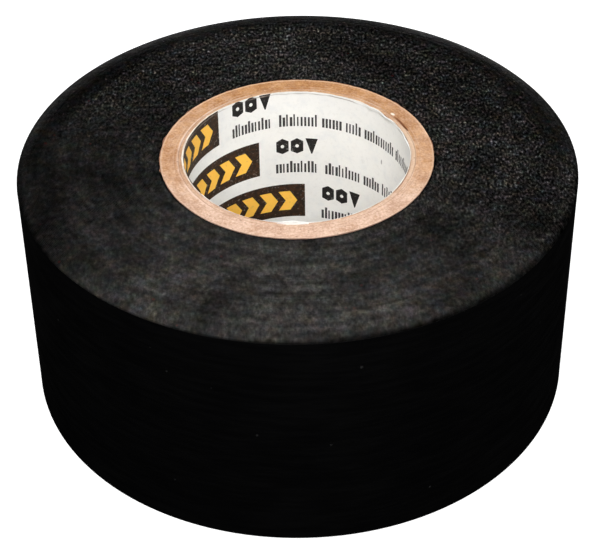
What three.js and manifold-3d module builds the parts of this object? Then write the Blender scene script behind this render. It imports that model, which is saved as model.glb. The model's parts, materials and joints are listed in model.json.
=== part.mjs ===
// A wide roll of black vinyl electrical tape on a spirally wound paper core, in millimetres, +Z up.
// The roll lies on its side, so its axis is Z and the origin is the centre of its lower face.
// The strip is wound counter-clockwise seen from above, and its free end lies against the back of the roll.
import * as THREE from "three";
import { mergeVertices } from "three/addons/utils/BufferGeometryUtils.js";
import Module from "manifold-3d";

const wasm = await Module();
wasm.setup();

// The tape: one strip of vinyl film coated with adhesive on its inner side.
const TAPE_WIDTH = 38.1; // the 1.5 inch strip
const TAPE_LENGTH = 20117; // 66 feet
const TAPE_THICKNESS = 0.2; // film and adhesive together

// The outer turns are wound tighter, so the strip is narrower there and both outer rims slope in.
const RIM_WIDTH = 3;
const UPPER_RIM_DROP = 1.2;
const LOWER_RIM_DROP = 0.57;

// The core: a white printed liner inside plies of kraft board, each glued round the one before.
const BORE_RADIUS = 16.6;
const LINER_THICKNESS = 0.12;
const PLY_THICKNESS = 0.62;
const PLY_COUNT = 5;
const GLUE_LINE = 0.04; // between each layer of the core and the next

// Each layer of the core is a strip wound on a helix, with a butt joint between its turns.
const HELIX_PITCH = 52; // of the joint, along the axis, for a full turn
const BUTT_GAP = 0.3;
const LINER_BUTT_GAP = 0.15;
const LINER_JOINT_FACET = 16; // the facet of the wall that the liner's joint starts at, at the bottom
const FIRST_PLY_JOINT_FACET = 24;
const JOINT_STAGGER = 27; // facets from one ply's joint to the next one's

// The free end, in links that stand for one flexible strip.
const PEEL_ANGLE = THREE.MathUtils.degToRad(62); // where the free end leaves the roll
const LINK_COUNT = 4;
const LINK_LENGTH = 10; // along the strip
const LINK_GAP = 0.12; // cut between two links, so that they can turn
const TAIL_CLEARANCE = 0.05; // between the free end and the turn under it

const WALL_SEGMENTS = 144; // round the outside of the roll
const CORE_SEGMENTS = 72; // facets round each layer of the core
const LINK_SEGMENTS = 6;
const FACETS_PER_STEP = 2; // that the helical cutter turns past in each of its steps
const OVERCUT = 1; // how far a cutting shape runs past what it cuts, at least
const FULL_TURN = 2 * Math.PI;

const coreRadius = BORE_RADIUS + LINER_THICKNESS + PLY_COUNT * (GLUE_LINE + PLY_THICKNESS);
const tapeInnerRadius = coreRadius + GLUE_LINE;
// The wound strip's edge covers an area of length times thickness, which gives the outer radius.
const tapeOuterRadius = Math.sqrt(tapeInnerRadius ** 2 + (TAPE_LENGTH * TAPE_THICKNESS) / Math.PI);

const materials = {
  vinyl: new THREE.MeshStandardMaterial({ color: 0x0b0b0b, roughness: 0.5, metalness: 0 }),
  kraft: new THREE.MeshStandardMaterial({ color: 0xc99a6a, roughness: 0.9, metalness: 0 }),
  liner: new THREE.MeshStandardMaterial({ color: 0xe6e3dc, roughness: 0.7, metalness: 0 }),
};

// A point at a radius and an angle round the axis.
function polar(radius, angle) {
  return new THREE.Vector2(radius * Math.cos(angle), radius * Math.sin(angle));
}

// The radius of the strip's outer face: tapeOuterRadius at the peel line, and one thickness more each turn.
function windingRadius(angle) {
  return tapeOuterRadius + (TAPE_THICKNESS * (angle - PEEL_ANGLE)) / FULL_TURN;
}

// Points along the strip's outer face, moved in by a depth, from one angle to another.
function windingPoints(from, to, segments, depth = 0) {
  return Array.from({ length: segments + 1 }, (_, i) => {
    const angle = THREE.MathUtils.lerp(from, to, i / segments);
    return polar(windingRadius(angle) - depth, angle);
  });
}

function circlePoints(radius, segments) {
  return Array.from({ length: segments }, (_, i) => polar(radius, (FULL_TURN * i) / segments));
}

// An outline drawn in the XY plane, raised from one height to another.
function prism(shape, bottom, top) {
  const geometry = new THREE.ExtrudeGeometry(shape, { depth: top - bottom, bevelEnabled: false });
  return geometry.translate(0, 0, bottom);
}

function tube(innerRadius, outerRadius, bottom, top) {
  const shape = new THREE.Shape(circlePoints(outerRadius, CORE_SEGMENTS));
  shape.holes.push(new THREE.Path(circlePoints(innerRadius, CORE_SEGMENTS)));
  return prism(shape, bottom, top);
}

// A closed three.js geometry as a manifold-3d solid.
function toSolid(geometry) {
  const bare = geometry.clone().deleteAttribute("normal").deleteAttribute("uv");
  const merged = mergeVertices(bare);
  return new wasm.Manifold(
    new wasm.Mesh({
      numProp: 3,
      vertProperties: merged.getAttribute("position").array,
      triVerts: new Uint32Array(merged.index.array),
    }),
  );
}

function toGeometry(solid) {
  const mesh = solid.getMesh();
  const geometry = new THREE.BufferGeometry();
  geometry.setAttribute("position", new THREE.BufferAttribute(mesh.vertProperties, 3));
  geometry.setIndex(new THREE.BufferAttribute(mesh.triVerts, 1));
  geometry.computeVertexNormals();
  return geometry;
}

// A thin upright blade from one radius to another, twisted about the axis so that it follows a helix.
// Its steps start and end in the middle of a facet of the wall, so the cut leaves no slivers.
function helicalBlade(innerRadius, outerRadius, gap, startFacet) {
  const facet = FULL_TURN / CORE_SEGMENTS;
  const stepHeight = (HELIX_PITCH * FACETS_PER_STEP) / CORE_SEGMENTS;
  const steps = Math.ceil((TAPE_WIDTH + 2 * OVERCUT) / stepHeight);
  const height = steps * stepHeight;
  const blade = new THREE.BoxGeometry(outerRadius - innerRadius, gap, height, 1, 1, steps);
  blade.translate((innerRadius + outerRadius) / 2, 0, height / 2);
  const position = blade.getAttribute("position");
  const point = new THREE.Vector3();
  const axis = new THREE.Vector3(0, 0, 1);
  for (let i = 0; i < position.count; i++) {
    point.fromBufferAttribute(position, i);
    point.applyAxisAngle(axis, (startFacet + 0.5) * facet + (FULL_TURN * point.z) / HELIX_PITCH);
    position.setXYZ(i, point.x, point.y, point.z);
  }
  return blade.translate(0, 0, (TAPE_WIDTH - height) / 2);
}

// One layer of the core: a tube with the helical butt joint cut through its wall.
function coreLayer(name, material, innerRadius, thickness, gap, jointFacet) {
  const outerRadius = innerRadius + thickness;
  const wall = toSolid(tube(innerRadius, outerRadius, 0, TAPE_WIDTH));
  const joint = toSolid(helicalBlade(innerRadius - OVERCUT, outerRadius + OVERCUT, gap, jointFacet));
  const mesh = new THREE.Mesh(toGeometry(wall.subtract(joint)), material);
  mesh.name = name;
  return mesh;
}

function core() {
  const group = new THREE.Group();
  group.add(
    coreLayer(
      "core_liner",
      materials.liner,
      BORE_RADIUS,
      LINER_THICKNESS,
      LINER_BUTT_GAP,
      LINER_JOINT_FACET,
    ),
  );
  const firstPly = BORE_RADIUS + LINER_THICKNESS + GLUE_LINE;
  for (let i = 0; i < PLY_COUNT; i++) {
    const inner = firstPly + i * (PLY_THICKNESS + GLUE_LINE);
    const jointFacet = FIRST_PLY_JOINT_FACET + i * JOINT_STAGGER;
    group.add(
      coreLayer(`core_ply_${i + 1}`, materials.kraft, inner, PLY_THICKNESS, BUTT_GAP, jointFacet),
    );
  }
  return group;
}

// A turned solid larger than the roll, except that its outer rims slope in as the roll's do.
// Its facets line up with the winding's, so that the two meet without slivers.
function slopedBlank() {
  const flatRadius = tapeOuterRadius - RIM_WIDTH;
  const edgeRadius = tapeOuterRadius + OVERCUT;
  const lowerSlope = LOWER_RIM_DROP / RIM_WIDTH;
  const upperSlope = UPPER_RIM_DROP / RIM_WIDTH;
  const profile = [
    [0, -OVERCUT],
    [flatRadius - OVERCUT / lowerSlope, -OVERCUT],
    [edgeRadius, lowerSlope * (RIM_WIDTH + OVERCUT)],
    [edgeRadius, TAPE_WIDTH - upperSlope * (RIM_WIDTH + OVERCUT)],
    [flatRadius - OVERCUT / upperSlope, TAPE_WIDTH + OVERCUT],
    [0, TAPE_WIDTH + OVERCUT],
  ].map(([radius, height]) => new THREE.Vector2(radius, height));
  const turned = new THREE.LatheGeometry(profile, WALL_SEGMENTS, PEEL_ANGLE + Math.PI / 2);
  return turned.rotateX(Math.PI / 2);
}

// The strip as far as the peel line. The last turn ends there in a step one thickness high.
function woundTape() {
  const outline = windingPoints(PEEL_ANGLE - FULL_TURN, PEEL_ANGLE, WALL_SEGMENTS);
  const shape = new THREE.Shape(outline);
  shape.holes.push(new THREE.Path(circlePoints(tapeInnerRadius, WALL_SEGMENTS)));
  const wound = toSolid(prism(shape, 0, TAPE_WIDTH)).intersect(toSolid(slopedBlank()));
  const mesh = new THREE.Mesh(toGeometry(wound), materials.vinyl);
  mesh.name = "wound_tape";
  return mesh;
}

// The rest of the strip, in links. Each link's own origin is its hinge line, on the strip's outer face.
function freeEnd() {
  const group = new THREE.Group();
  const linkAngle = LINK_LENGTH / tapeOuterRadius;
  const gapAngle = LINK_GAP / tapeOuterRadius;
  for (let i = 0; i < LINK_COUNT; i++) {
    const start = PEEL_ANGLE + i * linkAngle;
    const hinge = polar(windingRadius(start), start);
    const from = start + gapAngle;
    const to = start + linkAngle;
    const outer = windingPoints(from, to, LINK_SEGMENTS);
    const inner = windingPoints(from, to, LINK_SEGMENTS, TAPE_THICKNESS - TAIL_CLEARANCE);
    const outline = [...outer, ...inner.reverse()].map((point) =>
      point.sub(hinge).rotateAround(new THREE.Vector2(), -start),
    );
    const link = prism(new THREE.Shape(outline), LOWER_RIM_DROP, TAPE_WIDTH - UPPER_RIM_DROP);
    const mesh = new THREE.Mesh(link, materials.vinyl);
    mesh.name = `tape_end_${i + 1}`;
    mesh.position.set(hinge.x, hinge.y, 0);
    mesh.rotation.z = start;
    group.add(mesh);
  }
  return group;
}

const roll = new THREE.Group();
roll.add(core(), woundTape(), freeEnd());

export default roll;
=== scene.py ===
import json
import math

import bpy
import numpy as np
from mathutils import Matrix, Vector

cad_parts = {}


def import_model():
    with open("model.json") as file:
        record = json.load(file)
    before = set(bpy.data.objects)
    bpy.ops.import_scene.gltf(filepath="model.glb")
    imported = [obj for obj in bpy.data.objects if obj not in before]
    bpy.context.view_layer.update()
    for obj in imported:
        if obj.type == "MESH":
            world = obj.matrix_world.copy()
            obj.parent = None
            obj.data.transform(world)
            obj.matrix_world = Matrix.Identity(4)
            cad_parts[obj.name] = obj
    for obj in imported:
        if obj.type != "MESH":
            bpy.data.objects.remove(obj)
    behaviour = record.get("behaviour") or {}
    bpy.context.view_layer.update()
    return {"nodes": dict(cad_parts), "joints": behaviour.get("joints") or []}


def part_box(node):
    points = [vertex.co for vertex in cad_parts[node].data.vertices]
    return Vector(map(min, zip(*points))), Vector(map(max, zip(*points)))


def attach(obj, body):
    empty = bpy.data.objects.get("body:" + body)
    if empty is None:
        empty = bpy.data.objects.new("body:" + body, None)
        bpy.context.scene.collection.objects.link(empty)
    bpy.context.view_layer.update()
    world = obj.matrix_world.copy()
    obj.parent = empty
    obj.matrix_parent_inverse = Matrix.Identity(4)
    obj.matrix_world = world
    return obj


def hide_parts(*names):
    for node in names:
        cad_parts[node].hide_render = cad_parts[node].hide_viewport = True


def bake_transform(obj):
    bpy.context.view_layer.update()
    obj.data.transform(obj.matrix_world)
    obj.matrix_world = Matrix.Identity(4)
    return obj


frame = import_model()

# ------------------------------------------------ dimensions, in metres unless a name says mm

MM = 0.001
TURN = 2 * math.pi


def joint(name):
    return next(j for j in frame["joints"] if j["name"] == name)


def radii(node):
    """The smallest and largest distance of a CAD node's vertices from the roll's axis."""
    distances = [math.hypot(v.co.x, v.co.y) for v in frame["nodes"][node].data.vertices]
    return min(distances), max(distances)


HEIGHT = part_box("wound_tape")[1].z
PEEL_POINT = joint("tape_peel")["pos_m"]
PEEL_RADIUS = math.hypot(PEEL_POINT[0], PEEL_POINT[1])
PEEL_ANGLE = math.atan2(PEEL_POINT[1], PEEL_POINT[0])
TAPE_INNER_RADIUS = radii("wound_tape")[0]
TAPE_THICKNESS = 0.2 * MM
TAIL_LIFT = 0.05 * MM  # between the free end and the turn under it
UPPER_RIM_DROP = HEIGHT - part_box("tape_end_1")[1].z  # the outer turns are narrower than the inner ones
LOWER_RIM_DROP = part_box("tape_end_1")[0].z
CONE_DROP = 0.3 * MM  # the part of the drop that is spread over the whole side
ROUNDING_WIDTH = 4.5 * MM
LINKS = ["tape_end_1", "tape_end_2", "tape_end_3", "tape_end_4"]

PLIES = ["core_ply_1", "core_ply_2", "core_ply_3", "core_ply_4", "core_ply_5"]
BORE_RADIUS = radii("core_liner")[0]
FIRST_PLY_RADIUS = radii(PLIES[0])[0]
PLY_PITCH = radii(PLIES[1])[0] - FIRST_PLY_RADIUS

# The butt joint in each layer of the core follows a helix, as in the CAD model.
HELIX_PITCH = 52 * MM
HELIX_START = -1.17 * MM  # the height where the joints' angles are measured
CORE_FACET = TURN / 72
LINER_JOINT = 16.5 * CORE_FACET
FIRST_PLY_JOINT = 24.5 * CORE_FACET
JOINT_STAGGER = 27 * CORE_FACET

# The same sizes in millimetres, for the materials.
HEIGHT_MM = HEIGHT / MM
OUTER_MM = PEEL_RADIUS / MM
INNER_MM = TAPE_INNER_RADIUS / MM
BORE_MM = BORE_RADIUS / MM
FIRST_PLY_MM = FIRST_PLY_RADIUS / MM
PLY_PITCH_MM = PLY_PITCH / MM


# ------------------------------------------------ shader arithmetic

class Field:
    """A number or vector worked out by shader nodes, so that a pattern reads as arithmetic."""

    def __init__(self, tree, socket):
        self.tree, self.socket = tree, socket

    def math(self, operation, *others):
        node = self.tree.nodes.new("ShaderNodeMath")
        node.operation = operation
        for pin, value in zip(node.inputs, (self, *others)):
            connect(self.tree, value, pin)
        return Field(self.tree, node.outputs[0])

    def __add__(self, other):
        return self.math("ADD", other)

    def __sub__(self, other):
        return self.math("SUBTRACT", other)

    def __mul__(self, other):
        return self.math("MULTIPLY", other)

    def __truediv__(self, other):
        return self.math("DIVIDE", other)

    def above(self, level):
        return self.math("GREATER_THAN", level)

    def below(self, level):
        return self.math("LESS_THAN", level)

    def between(self, low, high):
        return self.above(low) * self.below(high)

    def wrap(self, low, high):
        return self.math("WRAP", high, low)

    def floor(self):
        return self.math("FLOOR")

    def fract(self):
        return self.math("FRACT")

    def absolute(self):
        return self.math("ABSOLUTE")

    def exponent(self):
        return self.math("EXPONENT")

    def ramp(self, low, high, at_low=0.0, at_high=1.0):
        """A smooth step from at_low to at_high as this goes from low to high."""
        node = self.tree.nodes.new("ShaderNodeMapRange")
        node.interpolation_type = "SMOOTHSTEP"
        for pin, value in zip(node.inputs, (self, low, high, at_low, at_high)):
            connect(self.tree, value, pin)
        return Field(self.tree, node.outputs[0])

    def parts(self):
        node = self.tree.nodes.new("ShaderNodeSeparateXYZ")
        connect(self.tree, self, node.inputs[0])
        return [Field(self.tree, out) for out in node.outputs]

    def moved(self, x, y, z):
        node = self.tree.nodes.new("ShaderNodeVectorMath")
        connect(self.tree, self, node.inputs[0])
        node.inputs[1].default_value = (x, y, z)
        return Field(self.tree, node.outputs[0])

    def to(self, pin):
        self.tree.links.new(self.socket, pin)


def connect(tree, value, pin):
    if isinstance(value, Field):
        tree.links.new(value.socket, pin)
    else:
        pin.default_value = value


def vector(tree, x, y, z):
    node = tree.nodes.new("ShaderNodeCombineXYZ")
    for pin, value in zip(node.inputs, (x, y, z)):
        connect(tree, value, pin)
    return Field(tree, node.outputs[0])


def noise(tree, at, scale, detail=2.0, roughness=0.5):
    """Smooth noise round 0.5, with scale features per millimetre."""
    node = tree.nodes.new("ShaderNodeTexNoise")
    connect(tree, at, node.inputs["Vector"])
    node.inputs["Scale"].default_value = scale
    node.inputs["Detail"].default_value = detail
    node.inputs["Roughness"].default_value = roughness
    return Field(tree, node.outputs["Fac"])


def specks(tree, at, scale, share, radius=0.4):
    """Round specks, 1 in their middles. Share is the part of the cells that hold one."""
    node = tree.nodes.new("ShaderNodeTexVoronoi")
    connect(tree, at, node.inputs["Vector"])
    node.inputs["Scale"].default_value = scale
    red, green, _ = Field(tree, node.outputs["Color"]).parts()
    size = green * (0.6 * radius) + 0.4 * radius
    return (Field(tree, node.outputs["Distance"]) / size).ramp(0.3, 1.0, 1.0, 0.0) * red.below(share)


def white_noise(tree, at):
    """A different random number for each value."""
    node = tree.nodes.new("ShaderNodeTexWhiteNoise")
    node.noise_dimensions = "1D"
    connect(tree, at, node.inputs["W"])
    return Field(tree, node.outputs["Value"])


def mix(tree, share, first, second):
    """Colour first where share is 0, second where it is 1."""
    node = tree.nodes.new("ShaderNodeMix")
    node.data_type = "RGBA"
    connect(tree, share, node.inputs[0])
    pins = [p for p in node.inputs if p.type == "RGBA"]
    for pin, colour in zip(pins, (first, second)):
        connect(tree, colour if isinstance(colour, Field) else (*colour, 1.0), pin)
    return Field(tree, next(p for p in node.outputs if p.type == "RGBA"))


def bump(tree, height, distance):
    """A normal for a relief where height 1 stands out by distance, in metres."""
    node = tree.nodes.new("ShaderNodeBump")
    node.inputs["Distance"].default_value = distance
    connect(tree, height, node.inputs["Height"])
    return Field(tree, node.outputs[0])


def new_material(name, roughness, specular):
    """A shader's inputs, its node tree, and the rest position in millimetres."""
    material = bpy.data.materials.new(name)
    material.use_nodes = True
    tree = material.node_tree
    pins = next(n for n in tree.nodes if n.type == "BSDF_PRINCIPLED").inputs
    pins["Roughness"].default_value = roughness
    pins["Specular IOR Level"].default_value = specular
    place = tree.nodes.new("ShaderNodeAttribute")
    place.attribute_name = "rest_mm"
    return material, pins, tree, Field(tree, place.outputs["Vector"])


def polar_mm(at):
    """Radius, angle and height of a place."""
    x, y, z = at.parts()
    radius = (x * x + y * y).math("SQRT")
    return radius, y.math("ARCTAN2", x), z


def patch(radius, angle, middle, half_width):
    """1 at a place given by radius in millimetres and angle in degrees, fading to 0 at the half widths."""
    across = (radius - middle[0]) / half_width[0]
    round_by = (angle - math.radians(middle[1])).wrap(-math.pi, math.pi) / math.radians(half_width[1])
    return (across * across + round_by * round_by).ramp(0.25, 1.0, 1.0, 0.0)


# ------------------------------------------------ materials

# Where the slit edge is duller, or brighter if the amount is negative. Each row holds a radius in mm and an
# angle in degrees, their half widths, and the amount.
SMOOTH_PATCHES = (
    ((39.5, -168), (6.0, 26), 0.75),
    ((38.0, -148), (4.5, 14), 0.55),
    ((30.0, -161), (6.0, 22), 0.45),
    ((34.0, 25), (10.0, 34), 0.25),
    ((37.0, -18), (6.0, 22), 0.50),
    ((29.0, -42), (7.0, 13), 0.45),
    ((31.0, 68), (9.0, 24), 0.45),
    ((38.5, 142), (4.5, 28), 0.70),
    ((33.0, -24), (8.0, 9), 0.45),
    ((26.0, -16), (3.5, 17), 0.35),
    ((32.0, 142), (7.5, 11), 0.35),
    ((39.5, 58), (3.5, 30), 0.30),
    ((36.5, -109), (6.0, 3), 0.40),
    ((37.0, -122), (6.0, 9), -0.30),
)
# Painted shade: the slit edge is painted darker towards the outer rim, where it curves away from the lamps.
RIM_PAINTED_SHADE_WIDTH = 1.3  # over how many mm the slit edge turns dark at the outer rim
# Painted highlight: a light line along the outer rim at the front left, with its place and half widths.
PAINTED_RIM_HIGHLIGHT, PAINTED_RIM_HIGHLIGHT_HALF = (OUTER_MM, -121), (9.0, 36)  # where the rim is a clear light line


class SlitEdge:
    """The patterns on the cut edges of the turns, as fields."""

    def __init__(self, tree, at):
        self.radius, self.angle, _ = polar_mm(at)
        x, self.y, _ = at.parts()
        cosine, sine = x / self.radius, self.y / self.radius
        along_turns = vector(tree, self.radius, cosine * 2.5, sine * 2.5)
        longer_turns = vector(tree, self.radius, cosine * 0.5, sine * 0.5)
        across_turns = vector(tree, self.radius * 0.10, cosine * 40.0, sine * 40.0)
        lengthwise = vector(tree, x, self.y * 0.55, 0.0)
        self.rings = noise(tree, along_turns, 0.9, 2.0, 0.5)
        self.fine_lines = noise(tree, longer_turns, 5.5, 1.0)
        self.knife_marks = noise(tree, across_turns, 1.0, 3.0, 0.65)
        self.blotches = noise(tree, at, 0.14, 3.0, 0.55)
        self.mottle = noise(tree, at, 0.75, 3.0, 0.6)
        self.coarse = noise(tree, lengthwise.moved(0.0, 9.0, 0.0), 2.0, 2.0, 0.6)
        self.grain = noise(tree, lengthwise, 2.8, 1.0, 0.6)
        self.rough_side = (self.y + x * 0.45).ramp(-30.0, 22.0)  # the back and the right
        self.plain = self.plain_rim()
        # Painted highlight along the front-left rim.
        self.rim_highlight = patch(self.radius, self.angle, PAINTED_RIM_HIGHLIGHT, PAINTED_RIM_HIGHLIGHT_HALF)
        self.rim = self.rim_painted_shade()
        # Dust specks, lighter than the edge; they also stand for painted glints on its rough cuts, and so
        # grow towards the back and the right.
        self.dust = specks(tree, at, 1.9, 0.16) * self.rough_side.ramp(0.2, 0.9, 0.17, 1.0) * self.rim

    def plain_rim(self):
        """1 on the rim at the back, which is smooth and dull, with an irregular boundary."""
        boundary = self.radius + (self.blotches - 0.5) * 6.0 + (self.mottle - 0.5) * 3.0
        return boundary.ramp(34.8, 39.2) * self.y.ramp(-8.0, 8.0)

    def rim_painted_shade(self):
        """Painted shade: 1 on the slit edge, falling where it curves away at the outer rim and where it
        meets the core.
        """
        outer = self.radius.ramp(self.rim_highlight * 0.85 + (OUTER_MM - RIM_PAINTED_SHADE_WIDTH), OUTER_MM, 1.0, 0.10)
        return outer * self.radius.ramp(INNER_MM, INNER_MM + 0.5, 0.25, 1.0)

    def level(self):
        """How light the edge is, 1 on average: e to the power of a sum of patterns."""
        uneven = self.rough_side * (self.plain * -0.75 + 1.0)
        power = (self.grain - 0.5) * uneven.ramp(0.0, 1.0, 0.8, 9.8)
        power = power - self.rough_side * 0.06 - self.plain * 0.12
        power = power + (self.coarse - 0.5) * self.rough_side.ramp(0.0, 1.0, 2.4, 3.6)
        power = power + (self.mottle - 0.5) * 2.6 + (self.blotches - 0.5) * 2.2
        power = power + (self.rings - 0.5) * 1.6 + (self.fine_lines - 0.5) * 0.15
        for middle, half_width, amount in SMOOTH_PATCHES:
            power = power - patch(self.radius, self.angle, middle, half_width) * amount
        # Painted highlight: a light line just inside the outer rim, which also holds off the painted rim
        # shade there.
        power = power + self.rim_highlight * self.radius.ramp(OUTER_MM - 1.2, OUTER_MM - 0.5) * 0.12
        return power.exponent() * self.rim

    def relief(self):
        return self.grain * 0.6 + self.mottle * 0.4 + self.knife_marks * 0.08 + self.dust * 0.5


def stretch_highlights(tree, pins):
    """Highlights on the slit edge are stretched across the turns, as on brushed metal."""
    pins["Anisotropic"].default_value = 0.55
    pins["Anisotropic Rotation"].default_value = 0.25
    round_axis = tree.nodes.new("ShaderNodeTangent")
    round_axis.direction_type = "RADIAL"
    round_axis.axis = "Z"
    Field(tree, round_axis.outputs[0]).to(pins["Tangent"])


def slit_edge_material():
    """The cut edges of a hundred turns: dull and grainy, with rings, knife marks, dust specks that are
    partly painted glints, and lint; painted light makes them lighter in front, and the rims have painted
    shade and a painted highlight.
    """
    material, pins, tree, at = new_material("slit_edge", 0.74, 0.5)
    edge = SlitEdge(tree, at)
    level = edge.level()
    # Painted light: the base grey runs from 0.0062 in front to 0.0042 at the back, lighter where the lamps
    # fall more strongly.
    grey = level * edge.y.ramp(-34.0, 10.0, 0.0062, 0.0042) + edge.dust * 0.04
    reddish = (noise(tree, at.moved(0.0, 0.0, 40.0), 0.7, 2.0, 0.6) - 0.5) * 3.0 + 1.05
    bluish = (noise(tree, at.moved(0.0, 0.0, 80.0), 0.6, 2.0, 0.6) - 0.5) * 2.6 + 0.90
    lint = specks(tree, at.moved(5.0, 50.0, 0.0), 0.9, 0.05, 0.3)
    vector(tree, grey * reddish + lint * 0.02, grey * 0.96, grey * bluish).to(pins["Base Color"])
    shine = level * edge.y.ramp(-20.0, 25.0, 0.40, 0.17) * (edge.plain * -0.85 + 1.0)
    shine.to(pins["Specular IOR Level"])
    pins["Specular Tint"].default_value = (1.0, 0.97, 0.90, 1.0)
    bump(tree, edge.relief(), 0.04 * MM).to(pins["Normal"])
    stretch_highlights(tree, pins)
    return material


def film_material():
    """The smooth black outer side of the film, with faint drawn streaks and a little dust."""
    material, pins, tree, at = new_material("vinyl_film", 0.36, 0.26)
    x, y, z = at.parts()
    along = vector(tree, x * 0.12, y * 0.12, z)
    streaks = noise(tree, along, 1.3, 4.0, 0.6)
    leather = noise(tree, at, 2.4, 2.0, 0.5)
    wide = noise(tree, at, 0.08, 2.0, 0.5)
    dust = specks(tree, at, 0.5, 0.10, 0.16)
    tone = mix(tree, wide, (0.0006, 0.0006, 0.0007), (0.0013, 0.0013, 0.0014))
    tone = mix(tree, dust * 0.22, tone, (0.05, 0.05, 0.05))
    tone.to(pins["Base Color"])
    (streaks.ramp(0.3, 0.7, 0.30, 0.40) + wide * 0.06 + dust * 0.2).to(pins["Roughness"])
    relief = leather * 0.35 + streaks * 0.4 + wide * 0.8
    bump(tree, relief, 0.012 * MM).to(pins["Normal"])
    return material


def adhesive_material():
    """The tacky side of the strip: glossier than the film, and mottled where it was pulled off."""
    material, pins, tree, at = new_material("adhesive", 0.22, 0.45)
    pulled = noise(tree, at, 1.1, 4.0, 0.65)
    wide = noise(tree, at, 0.25, 2.0)
    tone = mix(tree, pulled, (0.004, 0.004, 0.004), (0.010, 0.010, 0.0105))
    tone.to(pins["Base Color"])
    (pulled.ramp(0.30, 0.70, 0.19, 0.33) + wide * 0.08).to(pins["Roughness"])
    bump(tree, pulled + wide * 0.5, 0.02 * MM).to(pins["Normal"])
    return material


# The darkest and the palest tone of the board, where it is plain, and where it is pinker: a random blush,
# and painted light that is stronger in front.
NEW_BOARD = ((0.38, 0.165, 0.056), (0.61, 0.335, 0.155))
BLUSH_AND_FRONT_LIGHT_BOARD = ((0.48, 0.29, 0.195), (0.755, 0.545, 0.425))


def board_tone(tree, at, share):
    """Brown board, made pinker and paler in front by painted light, pinker in random blushes, and paler as
    share goes from 0 to 1.
    """
    _, y, _ = at.parts()
    blush = noise(tree, at.moved(20.0, 0.0, 0.0), 0.9, 2.0, 0.6) - 0.5
    # Painted light: the front is made pinker and paler as if lit more strongly; the blush adds a random
    # tone.
    blush_and_front_light = y.ramp(20.0, 9.0, 0.0, 0.3) + y.ramp(0.0, -15.0, 0.0, 0.75) + blush * 1.1
    return mix(tree, blush_and_front_light, mix(tree, share, *NEW_BOARD), mix(tree, share, *BLUSH_AND_FRONT_LIGHT_BOARD))


def ply_lines(tree, at, ply, wide, tone):
    """Pale lips and dark grooves between the plies. Ply is the radius in plies, from 0 to 5."""
    radius, angle, z = polar_mm(at)
    _, y, _ = at.parts()
    lip = ((ply.fract() - 0.5).absolute() * 2.0).ramp(0.55, 0.92)
    broken = noise(tree, vector(tree, angle * 2.5, 11.0, z * 0.1), 1.0, 2.0).ramp(0.35, 0.65)
    inner = ply.ramp(1.2, 2.4, 0.95, 0.08) * (broken * y.ramp(-14.0, -6.0, 0.3, 1.0))
    outer = ply.ramp(4.45, 4.75) * ply.ramp(4.85, 5.1, 0.35, -0.1)
    tone = mix(tree, lip * inner + outer, tone, (0.76, 0.56, 0.42))
    left = patch(radius, angle, (17.5, 172), (9.0, 62)) * wide.ramp(0.42, 0.58, 0.35, 1.0)
    left_line = (ply - 1.18).absolute().ramp(0.04, 0.40, 0.7, 0.0) * left
    tone = mix(tree, left_line, tone, (0.86, 0.66, 0.55))
    first_groove = (ply - 0.93).absolute().ramp(0.0, 0.13, 0.6, 0.0)
    second_groove = (ply - 1.9).absolute().ramp(0.0, 0.1, 0.25, 0.0)
    tone = mix(tree, first_groove + second_groove, tone, (0.26, 0.11, 0.06))
    right = patch(radius, angle, (17.0, 4), (0.42, 34))
    return mix(tree, ply.ramp(0.8, 1.1, 0.20, 0.0) + right * 0.5, tone, (0.72, 0.54, 0.40))


def board_shade_and_fibre(tree, at, ply, tone):
    """Painted shade on the outer edge of the board and on its sides below the cut face, painted red-brown
    shade in and beside the split, and the torn fibre, pale in its own colour and as a painted highlight.
    """
    radius, angle, z = polar_mm(at)
    # Painted shadow: a dark line on the outer edge of the outer ply, where it meets the tape.
    tone = mix(tree, ply.ramp(4.86, 5.02) * 0.8, tone, (0.16, 0.07, 0.05))
    # Painted shade on the board's sides, darkening from 0.15 mm to 0.7 mm below each cut face, where they
    # lie hidden between the layers.
    below_face = (z - HEIGHT_MM / 2).absolute() * -1.0 + HEIGHT_MM / 2
    tone = mix(tree, below_face.ramp(0.15, 0.7) * 0.85, tone, (0.15, 0.045, 0.02))
    # Painted shade of the split: dark red-brown in and beside it.
    split_shade = patch(radius, angle, (17.56, 26.5), (0.30, 8.5))
    tone = mix(tree, split_shade * 0.7, tone, (0.30, 0.11, 0.045))
    # The torn fibre: near-white, partly its own pale colour and partly a painted highlight.
    return mix(tree, patch(radius, angle, TORN_FIBRE, (0.30, 1.6)) * 0.9, tone, (0.92, 0.84, 0.72))


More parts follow.
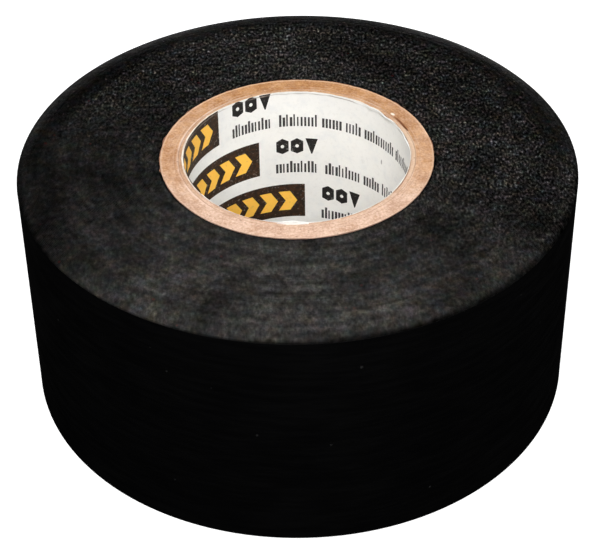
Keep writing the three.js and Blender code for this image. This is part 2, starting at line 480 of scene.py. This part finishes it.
def kraft_material():
    """Brown paper board with fibres, flecks and pits."""
    material, pins, tree, at = new_material("kraft_board", 0.86, 0.2)
    radius, angle, z = polar_mm(at)
    wander = noise(tree, vector(tree, angle * 6.0, z * 0.4, 3.0), 1.0, 3.0)
    fibres = noise(tree, vector(tree, radius * 1.5, angle * 10.0, z * 1.6), 1.5, 5.0, 0.7)
    flecks = noise(tree, at, 3.0, 3.0, 0.7)
    pits = specks(tree, at.moved(3.0, 0.0, 9.0), 1.8, 0.25, 0.4)
    wide = noise(tree, at, 0.35, 3.0, 0.6)
    ply = (radius + wander * 0.16 - 0.08 - FIRST_PLY_MM) / PLY_PITCH_MM
    share = (fibres - 0.5) * 1.1 + (wide - 0.5) * 1.9 + (flecks - 0.5) * 2.2 + 0.47
    tone = ply_lines(tree, at, ply, wide, board_tone(tree, at, share))
    tone = mix(tree, pits * 0.45, tone, (0.20, 0.09, 0.045))
    tone = mix(tree, flecks.ramp(0.60, 0.78) * 0.25, tone, (0.80, 0.64, 0.50))
    board_shade_and_fibre(tree, at, ply, tone).to(pins["Base Color"])
    bump(tree, fibres * 0.8 + flecks * 0.6 + pits * -0.6, 0.06 * MM).to(pins["Normal"])
    return material


# The liner's print: rows parallel to the rim, each shifted along from the one above, in millimetres.
ROW_PITCH = 8.8
ROW_SHIFT = 7.2
ROW_START = -0.25  # where the first row starts, below the rim
BOX_LEFT, BOX_RIGHT, BOX_HEIGHT = -36.0, -13.2, 6.4
CHEVRON_PITCH, CHEVRON_SHARE, CHEVRON_LEAN = 3.1, 0.60, 0.62
CHEVRON_MIDDLE, CHEVRON_HALF_HEIGHT = 3.2, 1.85
SIGNS_LEFT, SIGN_PITCH, SIGN_WIDTH, SIGN_HEIGHT = -10.6, 2.3, 1.95, 2.9
STROKES_LEFT, STROKES_RIGHT, STROKE_PITCH = -11.1, 42.0, 0.56
STROKES_TOP, STROKES_MIDDLE, STROKES_BOTTOM = 4.3, 4.8, 6.5


def print_layout(at):
    """Distance along a print row from the row's own start, distance below its top, and its number."""
    _, angle, z = polar_mm(at)
    along = (angle * -1.0 + math.pi / 2) * BORE_MM
    depth = z * -1.0 + (HEIGHT_MM - ROW_START)
    row = (depth / ROW_PITCH).floor()
    half_way_round = TURN * BORE_MM / 2
    x = (along - row * ROW_SHIFT).wrap(-half_way_round, half_way_round)
    return x, depth - row * ROW_PITCH, row


def chevrons(x, y):
    from_middle = (y - CHEVRON_MIDDLE).absolute()
    lean = (x + from_middle * CHEVRON_LEAN - BOX_RIGHT) / CHEVRON_PITCH
    inside = x.between(BOX_LEFT + 1.2, BOX_RIGHT - 0.9) * from_middle.below(CHEVRON_HALF_HEIGHT)
    return lean.fract().below(CHEVRON_SHARE) * lean.below(0.0) * inside


def signs(x, y):
    """Two six-sided nuts and a triangle that points down."""
    place = (x - SIGNS_LEFT) / SIGN_PITCH
    across = ((place.fract() - 0.5) * (2 * SIGN_PITCH / SIGN_WIDTH)).absolute()
    down = (y - SIGN_HEIGHT / 2) / (SIGN_HEIGHT / 2)
    off = down.absolute()
    nut = across.below(1.0) * (off + across * 0.35).below(1.0)
    hole = (across * across * 0.55 + off * off).below(0.045)
    triangle = (across + (down + 1.0) * 0.46).below(1.0) * off.below(1.0)
    return nut * (hole * -1.0 + 1.0) * place.between(0.0, 2.0) + triangle * place.between(2.0, 3.0)


def strokes(x, y, row):
    """Upright strokes of two heights and uneven widths, in groups."""
    tree = x.tree
    cell = ((x - STROKES_LEFT) / STROKE_PITCH).floor()
    within = ((x - STROKES_LEFT) / STROKE_PITCH).fract()
    chance = white_noise(tree, cell + row * 97.0)
    reach = chance.above(0.68) * (STROKES_TOP - STROKES_MIDDLE) + STROKES_MIDDLE
    gaps = (cell / 13.0).fract().above(0.05) * ((cell + 5.0) / 19.0).fract().above(0.03)
    marks = within.below(white_noise(tree, cell + 0.5) * 0.3 + 0.42) * gaps
    marks = marks * (y - reach).above(0.0) * y.between(0.0, STROKES_BOTTOM)
    return marks * x.between(STROKES_LEFT, STROKES_RIGHT)


def blank_paper(tree, fibres, cloud, wide):
    paper = mix(tree, wide, (0.81, 0.795, 0.755), (0.87, 0.86, 0.83))
    paper = mix(tree, cloud.ramp(0.45, 0.75) * 0.35, paper, (0.66, 0.68, 0.70))
    return mix(tree, fibres.ramp(0.5, 0.8) * 0.3, paper, (0.60, 0.575, 0.54))


def printed(tree, at, fibres, paper):
    """The print over the paper, thin in places, with a few scuffs."""
    x, y, row = print_layout(at)
    ink = noise(tree, at, 2.2, 3.0, 0.6).ramp(0.25, 0.42, 0.75, 1.0)
    box = x.between(BOX_LEFT, BOX_RIGHT) * y.below(BOX_HEIGHT)
    box_tone = mix(tree, fibres.ramp(0.4, 0.7), (0.021, 0.0125, 0.007), (0.064, 0.027, 0.011))
    tone = mix(tree, strokes(x, y, row) * ink, paper, (0.04, 0.037, 0.036))
    tone = mix(tree, signs(x, y) * ink, tone, (0.014, 0.012, 0.011))
    tone = mix(tree, box * ink, tone, box_tone)
    tone = mix(tree, chevrons(x, y) * ink, tone, (0.97, 0.54, 0.08))
    return mix(tree, specks(tree, at, 0.25, 0.05, 0.08) * 0.5, tone, (0.2, 0.18, 0.16))


def painted_lip_shadow(tree, at, tone):
    """Painted shadow: a thin grey-brown line just under the liner's upper edge, where its curled lip shades
    the wall, and one small fleck.
    """
    radius, angle, z = polar_mm(at)
    depth = z * -1.0 + HEIGHT_MM
    wavy = noise(tree, vector(tree, angle * 7.0, 5.0, 0.0), 1.0, 2.0, 0.6)
    sunk = wavy * 0.45 + patch(radius, angle, (16.6, 38), (4.0, 32)) * 0.16
    # The painted shadow line, at a wavy depth under the edge, broken in places.
    lip_shadow = (depth - sunk).absolute().ramp(0.03, 0.17, 1.0, 0.0)
    broken = noise(tree, vector(tree, angle * 3.0, 25.0, 0.0), 1.0, 2.0, 0.6)
    lip_shadow = lip_shadow * broken.ramp(0.40, 0.60, 0.15, 1.0)
    tone = mix(tree, lip_shadow * 0.75, tone, (0.30, 0.25, 0.22))
    return mix(tree, patch(depth, angle, (8.9, 38.5), (0.55, 0.6)) * 0.7, tone, (0.20, 0.17, 0.15))


def cut_edge_tone(tree, at):
    """The liner's cut edge is whiter at the back and the left, and browner at the front and the right."""
    radius, angle, _ = polar_mm(at)
    _, y, _ = at.parts()
    white = noise(tree, at.moved(0.0, 0.0, 60.0), 0.35, 3.0, 0.6).ramp(0.38, 0.62)
    white = white * y.ramp(-16.0, 0.0, 0.35, 1.0)
    white = white + patch(radius, angle, (16.8, 168), (4.0, 55)) * 0.6
    white = white - patch(radius, angle, (16.8, 2), (4.0, 36)) * 0.7
    return mix(tree, white, (0.48, 0.31, 0.21), (0.84, 0.76, 0.66))


def liner_material():
    """White liner paper with a plain printed pattern: boxes with chevrons, signs and rows of strokes."""
    material, pins, tree, at = new_material("liner_paper", 0.62, 0.3)
    radius, _, _ = polar_mm(at)
    fibres = noise(tree, at, 1.8, 4.0, 0.6)
    cloud = noise(tree, at.moved(0.0, 40.0, 0.0), 0.55, 4.0, 0.65)
    wide = noise(tree, at, 0.12, 2.0, 0.5)
    tone = printed(tree, at, fibres, blank_paper(tree, fibres, cloud, wide))
    # Painted shadow under the liner's curled upper edge, and a fleck.
    tone = painted_lip_shadow(tree, at, tone)
    tone = mix(tree, radius.above(BORE_MM + 0.03), tone, cut_edge_tone(tree, at))
    tone.to(pins["Base Color"])
    bump(tree, fibres + wide * 2.0 + cloud, 0.03 * MM).to(pins["Normal"])
    return material


def floor_material():
    """A pale floor that glows, so that no view shows a horizon."""
    material = bpy.data.materials.new("studio_floor")
    material.use_nodes = True
    tree = material.node_tree
    pins = next(n for n in tree.nodes if n.type == "BSDF_PRINCIPLED").inputs
    grain = tree.nodes.new("ShaderNodeTexNoise")
    grain.inputs["Scale"].default_value = 40.0
    tone = mix(tree, Field(tree, grain.outputs["Fac"]), (0.34, 0.34, 0.34), (0.36, 0.36, 0.36))
    tone.to(pins["Base Color"])
    pins["Roughness"].default_value = 1.0
    pins["Specular IOR Level"].default_value = 0.0
    pins["Emission Color"].default_value = (1.0, 1.0, 1.0, 1.0)
    pins["Emission Strength"].default_value = 1.0
    return material


# ------------------------------------------------ mesh making

SHARP_FOLD = math.radians(40)


def make_object(name, points, faces, slots, materials):
    """A mesh object with its rest position, in millimetres, kept on each vertex for the materials."""
    mesh = bpy.data.meshes.new(name)
    mesh.from_pydata(points.tolist(), [], faces)
    for material in materials:
        mesh.materials.append(material)
    mesh.polygons.foreach_set("material_index", np.asarray(slots, np.int32))
    mesh.shade_smooth()
    mesh.set_sharp_from_angle(angle=SHARP_FOLD)
    rest = mesh.attributes.new("rest_mm", "FLOAT_VECTOR", "POINT")
    rest.data.foreach_set("vector", (points.astype(np.float32) / MM).ravel())
    piece = bpy.data.objects.new(name, mesh)
    bpy.context.scene.collection.objects.link(piece)
    return piece


def cylindrical(radius, angle, z):
    return np.stack(np.broadcast_arrays(radius * np.cos(angle), radius * np.sin(angle), z), -1)


def smooth_random(rng, count, spacing):
    """Count random values from -1 to 1 that change smoothly, with a new one every spacing."""
    knots = rng.uniform(-1, 1, int(count / spacing) + 3)
    place = np.arange(count) / spacing
    low = place.astype(int)
    share = place - low
    share = share * share * (3 - 2 * share)
    return knots[low] * (1 - share) + knots[low + 1] * share


def grid_faces(first, second, flip=False):
    """Quads between two rows of vertex numbers."""
    quads = np.stack([first[:-1], second[:-1], second[1:], first[1:]], -1)
    return (quads[:, ::-1] if flip else quads).tolist()


# ------------------------------------------------ the tape

FILM, ADHESIVE, EDGE = 0, 1, 2  # material slots of the tape
TAPE_SEED = 11
STEPS = 150  # per turn of the strip
GROOVE = 0.009 * MM  # half the gap between the edges of two turns
GROOVE_DEPTH = 0.10 * MM
COLLAR = 0.05 * MM  # between the core and the start of the strip
ROUNDNESS = 0.97  # of the outer rims: 1 is a full quarter of an ellipse

# How deep the edges of the turns lie, in mm: on average, and what each kind of unevenness adds to that.
EDGE_RECESS, EDGE_WANDER, EDGE_RIPPLE, EDGE_PROUD, EDGE_TILT = 0.03, 0.012, 0.003, 0.03, 0.004

FILM_CORNER = 0.07 * MM  # the rounding of the outermost turn's corners
FILM_FIRST_ROW, FILM_SECOND_ROW = 0.12 * MM, 1.2 * MM  # rows of points on the film, from its corners
FILM_ROWS = 13
FILM_RIPPLE = 0.012 * MM
FILM_RIPPLE_FADE = math.radians(8)

STRIP_BEVEL = 0.03 * MM
STRIP_FLAT = 0.5 * MM  # from the free strip's edges to where its faces are quite flat
LIFT_ANGLE = math.radians(2)  # over which the free strip lifts off the turn under it
FIRST_BEND = math.radians(3)  # how far past the peel line the first bend reaches
LINK_STEPS = 40


def rim_drop(radius, total):
    """How far a side of the roll stands back at a radius: a shallow cone and a rounded rim."""
    out = np.clip((radius - TAPE_INNER_RADIUS) / (PEEL_RADIUS - TAPE_INNER_RADIUS), 0, 1)
    over = np.clip((radius - PEEL_RADIUS) / ROUNDING_WIDTH + 1, 0, 1)
    rounding = (1 - np.sqrt(1 - ROUNDNESS * over**2)) / (1 - math.sqrt(1 - ROUNDNESS))
    return CONE_DROP * np.sqrt(out) + (total - CONE_DROP) * rounding


def edge_heights(rng, count):
    """How deep the inner and the outer corner of each turn's edge lie."""
    wander = smooth_random(rng, count, 2.4 * STEPS)
    ripple = smooth_random(rng, count, 0.21 * STEPS)
    proud = np.clip(smooth_random(rng, count, 1.7 * STEPS) - 0.55, 0, 1)
    tilt = smooth_random(rng, count, 0.9 * STEPS)
    recess = (EDGE_RECESS + EDGE_WANDER * wander + EDGE_RIPPLE * ripple - EDGE_PROUD * proud) * MM
    inner = recess + np.maximum(tilt, 0) * EDGE_TILT * MM
    outer = recess + np.maximum(-tilt, 0) * EDGE_TILT * MM
    return inner, outer


class Points:
    """Collects rows of points and gives out their vertex numbers."""

    def __init__(self):
        self.rows, self.count = [], 0

    def add(self, row):
        numbers = np.arange(self.count, self.count + len(row))
        self.rows.append(row)
        self.count += len(row)
        return numbers

    def all(self):
        return np.concatenate(self.rows)


def wound_side(points, rng, radius, angle, turns_length, upper):
    """The spiral of cut edges on one side of the roll, as rows of vertex numbers."""
    sign, level = (-1, HEIGHT) if upper else (1, 0.0)
    total = UPPER_RIM_DROP if upper else LOWER_RIM_DROP
    inner_recess, outer_recess = edge_heights(rng, turns_length + 1)
    depth = np.full(len(radius), GROOVE_DEPTH)
    depth[turns_length:] = FILM_CORNER
    base = level + sign * rim_drop(radius, total)
    strip = slice(0, turns_length + 1)
    after = slice(STEPS, turns_length + STEPS + 1)
    inner_level = base[strip] + sign * inner_recess
    outer_level = base[after] + sign * outer_recess
    ring_level = np.full(STEPS, level + sign * GROOVE_DEPTH)
    groove = points.add(cylindrical(radius, angle, base + sign * depth))
    inner = points.add(cylindrical(radius[strip] + GROOVE, angle[strip], inner_level))
    outer = points.add(cylindrical(radius[after] - GROOVE, angle[after], outer_level))
    ring = points.add(cylindrical(TAPE_INNER_RADIUS, angle[:STEPS], ring_level))
    return groove, inner, outer, ring


def side_faces(rails, turns_length, upper):
    """Faces of one side of the roll, with their material slots."""
    groove, inner, outer, ring = rails
    flip = not upper
    faces = grid_faces(groove[: turns_length + 1], inner, flip)
    slots = [ADHESIVE] * len(faces)
    faces += grid_faces(inner, outer, flip)
    slots += [EDGE] * (len(faces) - len(slots))
    faces += grid_faces(outer, groove[STEPS:], flip)
    slots += [FILM] * (len(faces) - len(slots))
    faces += grid_faces(ring, groove[:STEPS], flip)
    last = [ring[-1], groove[STEPS - 1], groove[STEPS], groove[0], ring[0]]
    cap = [groove[STEPS], outer[0], inner[0], groove[0]]
    faces += [[int(i) for i in (face[::-1] if flip else face)] for face in (last, cap)]
    slots += [EDGE] * (len(faces) - len(slots))
    return faces, slots


def film_ripples(angle, z):
    """The outermost film isn't quite even. The ripples fade out at the peel line."""
    back = (PEEL_ANGLE - angle) % TURN
    fade = np.clip(np.minimum(back, TURN - back) / FILM_RIPPLE_FADE, 0, 1)
    waves = np.sin(3 * angle + 1.0) * np.cos(z / (9 * MM))
    waves = waves + 0.6 * np.sin(7 * angle + 2.2 + z / (16 * MM))
    return -FILM_RIPPLE * (1 + 0.5 * waves) * fade


def film_rows(points, upper_groove, lower_groove, radius, angle):
    """Rows of points down the film of the outermost turn, from one side's groove to the other's."""
    high = HEIGHT - UPPER_RIM_DROP - FILM_CORNER
    low = LOWER_RIM_DROP + FILM_CORNER
    middle = np.linspace(high - FILM_SECOND_ROW, low + FILM_SECOND_ROW, FILM_ROWS)
    rows = [upper_groove]
    for z in (high - FILM_FIRST_ROW, *middle, low + FILM_FIRST_ROW):
        rows.append(points.add(cylindrical(radius + film_ripples(angle, z), angle, z)))
    return rows + [lower_groove]


def wound_tape(materials):
    """The strip from the core to the peel line, closed, with a groove between each turn and the next."""
    reach = PEEL_RADIUS - TAPE_INNER_RADIUS - COLLAR
    length = int(reach / TAPE_THICKNESS * STEPS) - STEPS  # of the strip, in steps
    back = (length + STEPS - np.arange(length + STEPS + 1)) / STEPS  # turns still to go to the peel line
    radius = PEEL_RADIUS - TAPE_THICKNESS * back
    angle = PEEL_ANGLE - TURN * back
    points = Points()
    rng = np.random.default_rng(TAPE_SEED)
    upper = wound_side(points, rng, radius, angle, length, True)
    lower = wound_side(points, rng, radius, angle, length, False)
    faces, slots = side_faces(upper, length, True)
    more_faces, more_slots = side_faces(lower, length, False)
    faces += more_faces
    slots += more_slots
    bore = grid_faces(np.append(lower[3], lower[3][0]), np.append(upper[3], upper[3][0]))
    faces += bore
    slots += [ADHESIVE] * len(bore)
    rows = film_rows(points, upper[0][length:], lower[0][length:], radius[length:], angle[length:])
    for above, below in zip(rows, rows[1:]):
        faces += grid_faces(above, below)
    slots += [FILM] * (len(faces) - len(slots))
    start_column = [int(row[0]) for row in rows]
    end_column = [int(row[-1]) for row in rows]
    step = [int(upper[1][-1]), int(upper[2][-1]), *end_column, int(lower[2][-1]), int(lower[1][-1])]
    faces.append(step + start_column[::-1])
    slots.append(EDGE)
    piece = make_object("wound_tape_strip", points.all(), faces, slots, materials)
    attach(piece, "roll")
    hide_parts("wound_tape")


def hinge_angles():
    """The angle of each hinge line round the axis, and of the strip's end."""
    names = ["tape_peel", "tape_bend_2", "tape_bend_3", "tape_bend_4"]
    places = [joint(name)["pos_m"] for name in names]
    angles = [math.atan2(p[1], p[0]) for p in places]
    return angles + [2 * angles[-1] - angles[-2]]


def strip_section(angle):
    """The free strip's cross-section at each angle, with narrow bevels on the film side."""
    outer = PEEL_RADIUS + TAPE_THICKNESS * (angle - PEEL_ANGLE) / TURN
    lift = TAIL_LIFT * np.clip((angle - PEEL_ANGLE) / LIFT_ANGLE, 0, 1)
    inner = outer - TAPE_THICKNESS + lift
    high, low = HEIGHT - UPPER_RIM_DROP, LOWER_RIM_DROP
    corners = (
        (outer, low + 2 * STRIP_BEVEL),
        (outer, low + STRIP_FLAT),
        (outer, high - STRIP_FLAT),
        (outer, high - 2 * STRIP_BEVEL),
        (outer - STRIP_BEVEL, high),
        (inner, high),
        (inner, low),
        (outer - STRIP_BEVEL, low),
    )
    return np.stack([cylindrical(radius, angle, z) for radius, z in corners], 1)


def free_end(materials):
    """The strip past the peel line, in one piece per link. Each meets the next in the middle of a link."""
    angles = hinge_angles()
    middles = [(a + b) / 2 for a, b in zip(angles, angles[1:])]
    starts = [angles[0]] + middles[:-1]
    ends = middles[:-1] + [angles[-1]]
    side_slots = [FILM, FILM, FILM, EDGE, EDGE, ADHESIVE, EDGE, EDGE]
    for i, link in enumerate(LINKS):
        points = strip_section(np.linspace(starts[i], ends[i], LINK_STEPS + 1))
        numbers = np.arange(points.shape[0] * points.shape[1]).reshape(-1, points.shape[1])
        faces, slots = [], []
        for corner, slot in enumerate(side_slots):
            side = grid_faces(numbers[:, corner], numbers[:, (corner + 1) % len(side_slots)], True)
            faces += side
            slots += [slot] * len(side)
        faces += [numbers[0].tolist(), numbers[-1, ::-1].tolist()]
        slots += [EDGE, EDGE]
        piece = make_object(f"{link}_strip", points.reshape(-1, 3), faces, slots, materials)
        half_link = (angles[1] - angles[0]) / 2
        first = angles[i] - (half_link if i else 0.0)
        last = angles[i] + (half_link if i else FIRST_BEND)
        start = cylindrical(PEEL_RADIUS, first, 0.0)
        end = cylindrical(PEEL_RADIUS, last, 0.0)
        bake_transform(piece)
        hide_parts(link)


# ------------------------------------------------ the core

# Where the liner's upper edge curls in from the wall: angle and spread in degrees, inward in mm.
LINER_CURLS = (
    (47.3, 2.5, 0.26), (35.5, 4.5, 0.38), (12.0, 7.0, 0.26), (152, 9, 0.10), (205, 12, 0.10), (88, 8, 0.08),
    (68, 4, 0.10), (121, 5, 0.09), (-92.5, 6, 0.58), (-60, 9, 0.07), (-25, 10, 0.10),
)
CURL_DEPTH = 0.42 * MM
# Where the liner's upper edge is folded out over the first ply: angle and spread in degrees, outward in mm.
LINER_FOLDS = (
    (172, 32, 0.20), (146, 9, 0.14), (195, 8, 0.10), (95, 25, 0.10), (42, 16, 0.14), (3, 12, 0.16),
    (-94, 6, 0.22), (-140, 12, 0.06),
)
# A split in the second ply's upper end: its two angles and its tapers in degrees, and the part of the ply's
# thickness that it takes.
SPLIT_FROM, SPLIT_TO = 19.5, 32.4
SPLIT_TAPER = 1.2
SPLIT_PART = (0.05, 0.40)
SPLIT_DEPTH = 0.9 * MM
TORN_FIBRE = (17.75, 35.2)  # radius in mm and angle in degrees
TORN_FIBRE_HEIGHT = 0.14 * MM
TORN_FIBRE_SPREAD = 1.6  # in degrees
# Tufts of the outer ply's upper edge, over the first turns of tape: angle and spread in degrees, outward
# in mm.
TUFTS = (
    (168, 3, 0.20), (190, 1.5, 0.26), (181, 5, 0.10), (142, 4, 0.10), (-70, 3, 0.08), (-118, 2, 0.10),
    (97, 1.5, 0.12), (72, 2, 0.10), (41, 3, 0.08), (8, 4, 0.08), (-31, 2, 0.09), (-150, 3, 0.12),
)


def bumps(angle, table):
    """The sum of the bumps of a table of angles, spreads and sizes."""
    total = 0.0
    for middle, spread, size in table:
        away = (np.degrees(angle) - middle + 180) % 360 - 180
        total = total + size * MM * np.exp(-((away / spread) ** 2))
    return total


def split(angle):
    """1 where the second ply is split, with short tapers."""
    degrees = np.degrees(angle) % 360
    opening = np.clip((degrees - SPLIT_FROM) / SPLIT_TAPER, 0, 1)
    return opening * np.clip((SPLIT_TO - degrees) / SPLIT_TAPER, 0, 1)


def torn_fibre(radius, angle):
    """How far the torn fibre stands up."""
    away = np.hypot(np.degrees(angle) % 360 - TORN_FIBRE[1], (radius / MM - TORN_FIBRE[0]) * 5)
    return TORN_FIBRE_HEIGHT * np.clip(1 - away / TORN_FIBRE_SPREAD, 0, 1)


END_PARTS = (0.0, 0.10, 0.22, 0.34, 0.46, 0.60, 0.75, 0.90, 1.0)  # of a layer's thickness, on its cut ends
NEAR_ENDS = (0.08, 0.18, 0.3, 0.45, 0.65, 1.0)  # in mm, where a layer has extra rows of points
LEVELS = 40
LINER_ROUGHNESS, PLY_ROUGHNESS = 0.03 * MM, 0.045 * MM  # of their cut ends
LINER_HALF_GAP, PLY_HALF_GAP = 0.03 * MM, 0.06 * MM  # of their butt joints
LINER_COLUMNS, PLY_COLUMNS = 360, 300
LINER_SEED, FIRST_PLY_SEED = 3, 20
INNER_LIP_DROP = 0.08 * MM  # of the first ply's inner edge, under the folded liner
OUTER_LIP_RISE = 0.04 * MM
RAGGED = 0.05 * MM  # how uneven the outer ply's outer edge is
CLOSED_GAP = 0.03 * MM  # how far the cut end of a middle ply reaches towards the next ply


class Layer:
    """One layer of the core: a tube with rough cut ends, slit along the helix of its butt joint."""

    def __init__(self, node, joint_angle, half_gap, seed, columns):
        self.node, self.joint_angle = node, joint_angle
        self.inner, self.outer = radii(node)
        self.rng = np.random.default_rng(seed)
        self.stations = np.linspace(half_gap / self.inner, TURN - half_gap / self.inner, columns + 1)
        self.is_liner = node == "core_liner"
        self.is_outer = node == PLIES[-1]
        self.is_split = node == PLIES[1]
        self.rough = LINER_ROUGHNESS if self.is_liner else PLY_ROUGHNESS
        self.closed_gap = 0.0 if self.is_liner or self.is_outer or node == PLIES[0] else CLOSED_GAP

    def angles(self, z):
        return self.stations + self.joint_angle + TURN * (z - HELIX_START) / HELIX_PITCH

    def wall_row(self, radius, z):
        angle = self.angles(z)
        if self.is_liner:
            radius = radius - bumps(angle, LINER_CURLS) * np.exp(-(((HEIGHT - z) / CURL_DEPTH) ** 2))
        return cylindrical(radius, angle, z)

    def random(self, spacing):
        return smooth_random(self.rng, len(self.stations), spacing)

    def end_rows(self, upper):
        """Rows of points over a cut end, from the inner wall to the outer one."""
        level = HEIGHT if upper else 0.0
        angle = self.angles(level)
        lumps = self.random(9) * 0.5 + self.random(3) * 0.5
        fray = self.random(2)
        rows = []
        for part in (0.0, 1.0) if self.is_liner else END_PARTS:
            radius = self.inner + part * (self.outer - self.inner)
            lip = max(0.0, 1.0 - min(part, 1 - part) * 4)
            drop = self.rough * (1.2 + 0.6 * lumps + 0.5 * self.random(1.3) - 0.4 * lip)
            if part == 1.0:
                radius = radius + self.closed_gap - self.rough * 0.5 * (1 + fray) * (self.closed_gap == 0)
            if self.is_liner and upper:
                fold = bumps(angle, LINER_FOLDS) * (1 + 0.3 * fray)
                drop = drop - self.rough * 2 * (1 + 0.5 * lumps) - fold * 0.3
                radius = radius - bumps(angle, LINER_CURLS) + fold * part
            if self.node == PLIES[0] and part < 0.4:
                drop = drop + INNER_LIP_DROP * (1 - part * 2.5)
            if self.is_split and upper:
                inside = SPLIT_PART[0] < part < SPLIT_PART[1]
                drop = drop + SPLIT_DEPTH * split(angle) * inside - torn_fibre(radius, angle)
            if self.is_outer and part > 0.8:
                ragged = RAGGED * (np.abs(self.random(6)) + np.abs(fray)) + bumps(angle, TUFTS)
                radius = radius + ragged * (part - 0.8) * 5
                drop = drop - (ragged * 0.2 + OUTER_LIP_RISE)
            rows.append(cylindrical(radius, angle, level - drop if upper else level + drop))
        return rows

    def build(self, materials):
        fine = np.array(NEAR_ENDS) * MM
        coarse = np.linspace(0.0, HEIGHT, LEVELS + 1)[2:-2]
        heights = np.concatenate([fine, coarse, (HEIGHT - fine)[::-1]])
        points = Points()
        outer = [points.add(self.wall_row(self.outer, z)) for z in heights]
        inner = [points.add(self.wall_row(self.inner, z)) for z in heights]
        top = [points.add(row) for row in self.end_rows(True)]
        bottom = [points.add(row) for row in self.end_rows(False)]
        outer = [bottom[-1], *outer, top[-1]]
        inner = [bottom[0], *inner, top[0]]
        faces = []
        for rows, flip in ((outer, True), (inner, False), (top, False), (bottom, True)):
            for a, b in zip(rows, rows[1:]):
                faces += grid_faces(a, b, flip)
        for end, flip in ((0, False), (-1, True)):
            faces += grid_faces(np.array([r[end] for r in outer]), np.array([r[end] for r in inner]), flip)
            for rows, other in ((top, flip), (bottom, not flip)):
                loop = [int(r[end]) for r in rows]
                faces += [loop[::-1] if other else loop] if len(loop) > 2 else []
        piece = make_object(f"{self.node}_paper", points.all(), faces, [0] * len(faces), materials)
        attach(piece, "roll")
        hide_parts(self.node)
        return piece


def core():
    board = kraft_material()
    liner = Layer("core_liner", LINER_JOINT, LINER_HALF_GAP, LINER_SEED, LINER_COLUMNS)
    liner = liner.build([liner_material()])
    for i, node in enumerate(PLIES):
        joint_angle = FIRST_PLY_JOINT + i * JOINT_STAGGER
        ply = Layer(node, joint_angle, PLY_HALF_GAP, FIRST_PLY_SEED + i, PLY_COLUMNS).build([board])


# ------------------------------------------------ camera, light and stage

CAMERA_ELEVATION = math.radians(35.43)
CAMERA_DISTANCE = 6.73  # from the middle of the upper rim, in outer radii
CAMERA_PAN, CAMERA_TILT, CAMERA_ROLL = math.radians(-0.04), math.radians(-3.43), math.radians(0.87)
CAMERA_LENS_MM = 112.75
FLOOR_HALF_SIZE = 4.0


def make_camera():
    data = bpy.data.cameras.new("camera")
    data.sensor_width = 36.0
    data.lens = CAMERA_LENS_MM
    data.clip_start, data.clip_end = 0.01, 50.0
    camera = bpy.data.objects.new("camera", data)
    bpy.context.scene.collection.objects.link(camera)
    away = CAMERA_DISTANCE * PEEL_RADIUS
    rise, run = math.sin(CAMERA_ELEVATION), math.cos(CAMERA_ELEVATION)
    place = Vector((0, -away * run, HEIGHT - UPPER_RIM_DROP + away * rise))
    forward = Vector((0, run, -rise))
    right = Vector((1, 0, 0))
    axes = [right, right.cross(forward), forward]
    for i, angle in ((1, CAMERA_PAN), (0, CAMERA_TILT), (2, CAMERA_ROLL)):
        turn = Matrix.Rotation(angle, 3, axes[i])
        axes = [turn @ axis for axis in axes]
    right, up, forward = axes
    rotation = Matrix((right, up, -forward)).transposed()
    camera.matrix_world = Matrix.Translation(place) @ rotation.to_4x4()
    bpy.context.scene.camera = camera


def area_light(name, azimuth, elevation, distance, size, power):
    """A soft light that faces the roll, size wide and high. Azimuth 0 is the camera's side."""
    data = bpy.data.lights.new(name, "AREA")
    data.shape = "ELLIPSE"
    data.size, data.size_y = size
    data.energy = power
    light = bpy.data.objects.new(name, data)
    bpy.context.scene.collection.objects.link(light)
    a, e = math.radians(azimuth), math.radians(elevation)
    away = Vector((math.sin(a) * math.cos(e), -math.cos(a) * math.cos(e), math.sin(e)))
    light.location = Vector((0, 0, HEIGHT)) + away * distance
    light.rotation_mode = "QUATERNION"
    light.rotation_quaternion = away.to_track_quat("Z", "Y")
    light.visible_camera = False


def lights():
    area_light("key", -4, 42, 0.30, (0.20, 0.09), 1.08)
    area_light("fill_left", -66, 32, 0.50, (0.3, 0.2), 0.72)
    area_light("fill_right", 68, 32, 0.50, (0.3, 0.2), 0.90)
    area_light("top", 0, 88, 0.80, (0.6, 0.6), 0.3)
    area_light("back_left", 232, 30, 0.50, (0.4, 0.4), 0.5)
    area_light("back_right", 118, 24, 0.50, (0.4, 0.4), 0.4)
    for name, azimuth in (("low_left", 196), ("low_right", 166)):
        area_light(name, azimuth, -3, 0.45, (0.16, 0.024), 1.3)  # lower than the roll's upper side


def world():
    """A white backdrop that doesn't light the roll."""
    made = bpy.data.worlds.new("studio")
    made.use_nodes = True
    background = next(n for n in made.node_tree.nodes if n.type == "BACKGROUND")
    background.inputs["Color"].default_value = (1.0, 1.0, 1.0, 1.0)
    background.inputs["Strength"].default_value = 1.0
    made.cycles_visibility.diffuse = False
    made.cycles_visibility.glossy = False
    bpy.context.scene.world = made


def stage():
    """A floor that isn't reflected in the roll and doesn't light it."""
    size = FLOOR_HALF_SIZE
    corners = [(-size, -size, 0), (size, -size, 0), (size, size, 0), (-size, size, 0)]
    mesh = bpy.data.meshes.new("floor")
    mesh.from_pydata(corners, [], [(0, 1, 2, 3)])
    mesh.materials.append(floor_material())
    floor = bpy.data.objects.new("floor", mesh)
    bpy.context.scene.collection.objects.link(floor)
    floor.visible_diffuse = False
    floor.visible_glossy = False


def main():
    bpy.context.scene.view_settings.view_transform = "Standard"
    make_camera()
    lights()
    world()
    stage()
    tape = [film_material(), adhesive_material(), slit_edge_material()]
    wound_tape(tape)
    free_end(tape)
    core()


main()
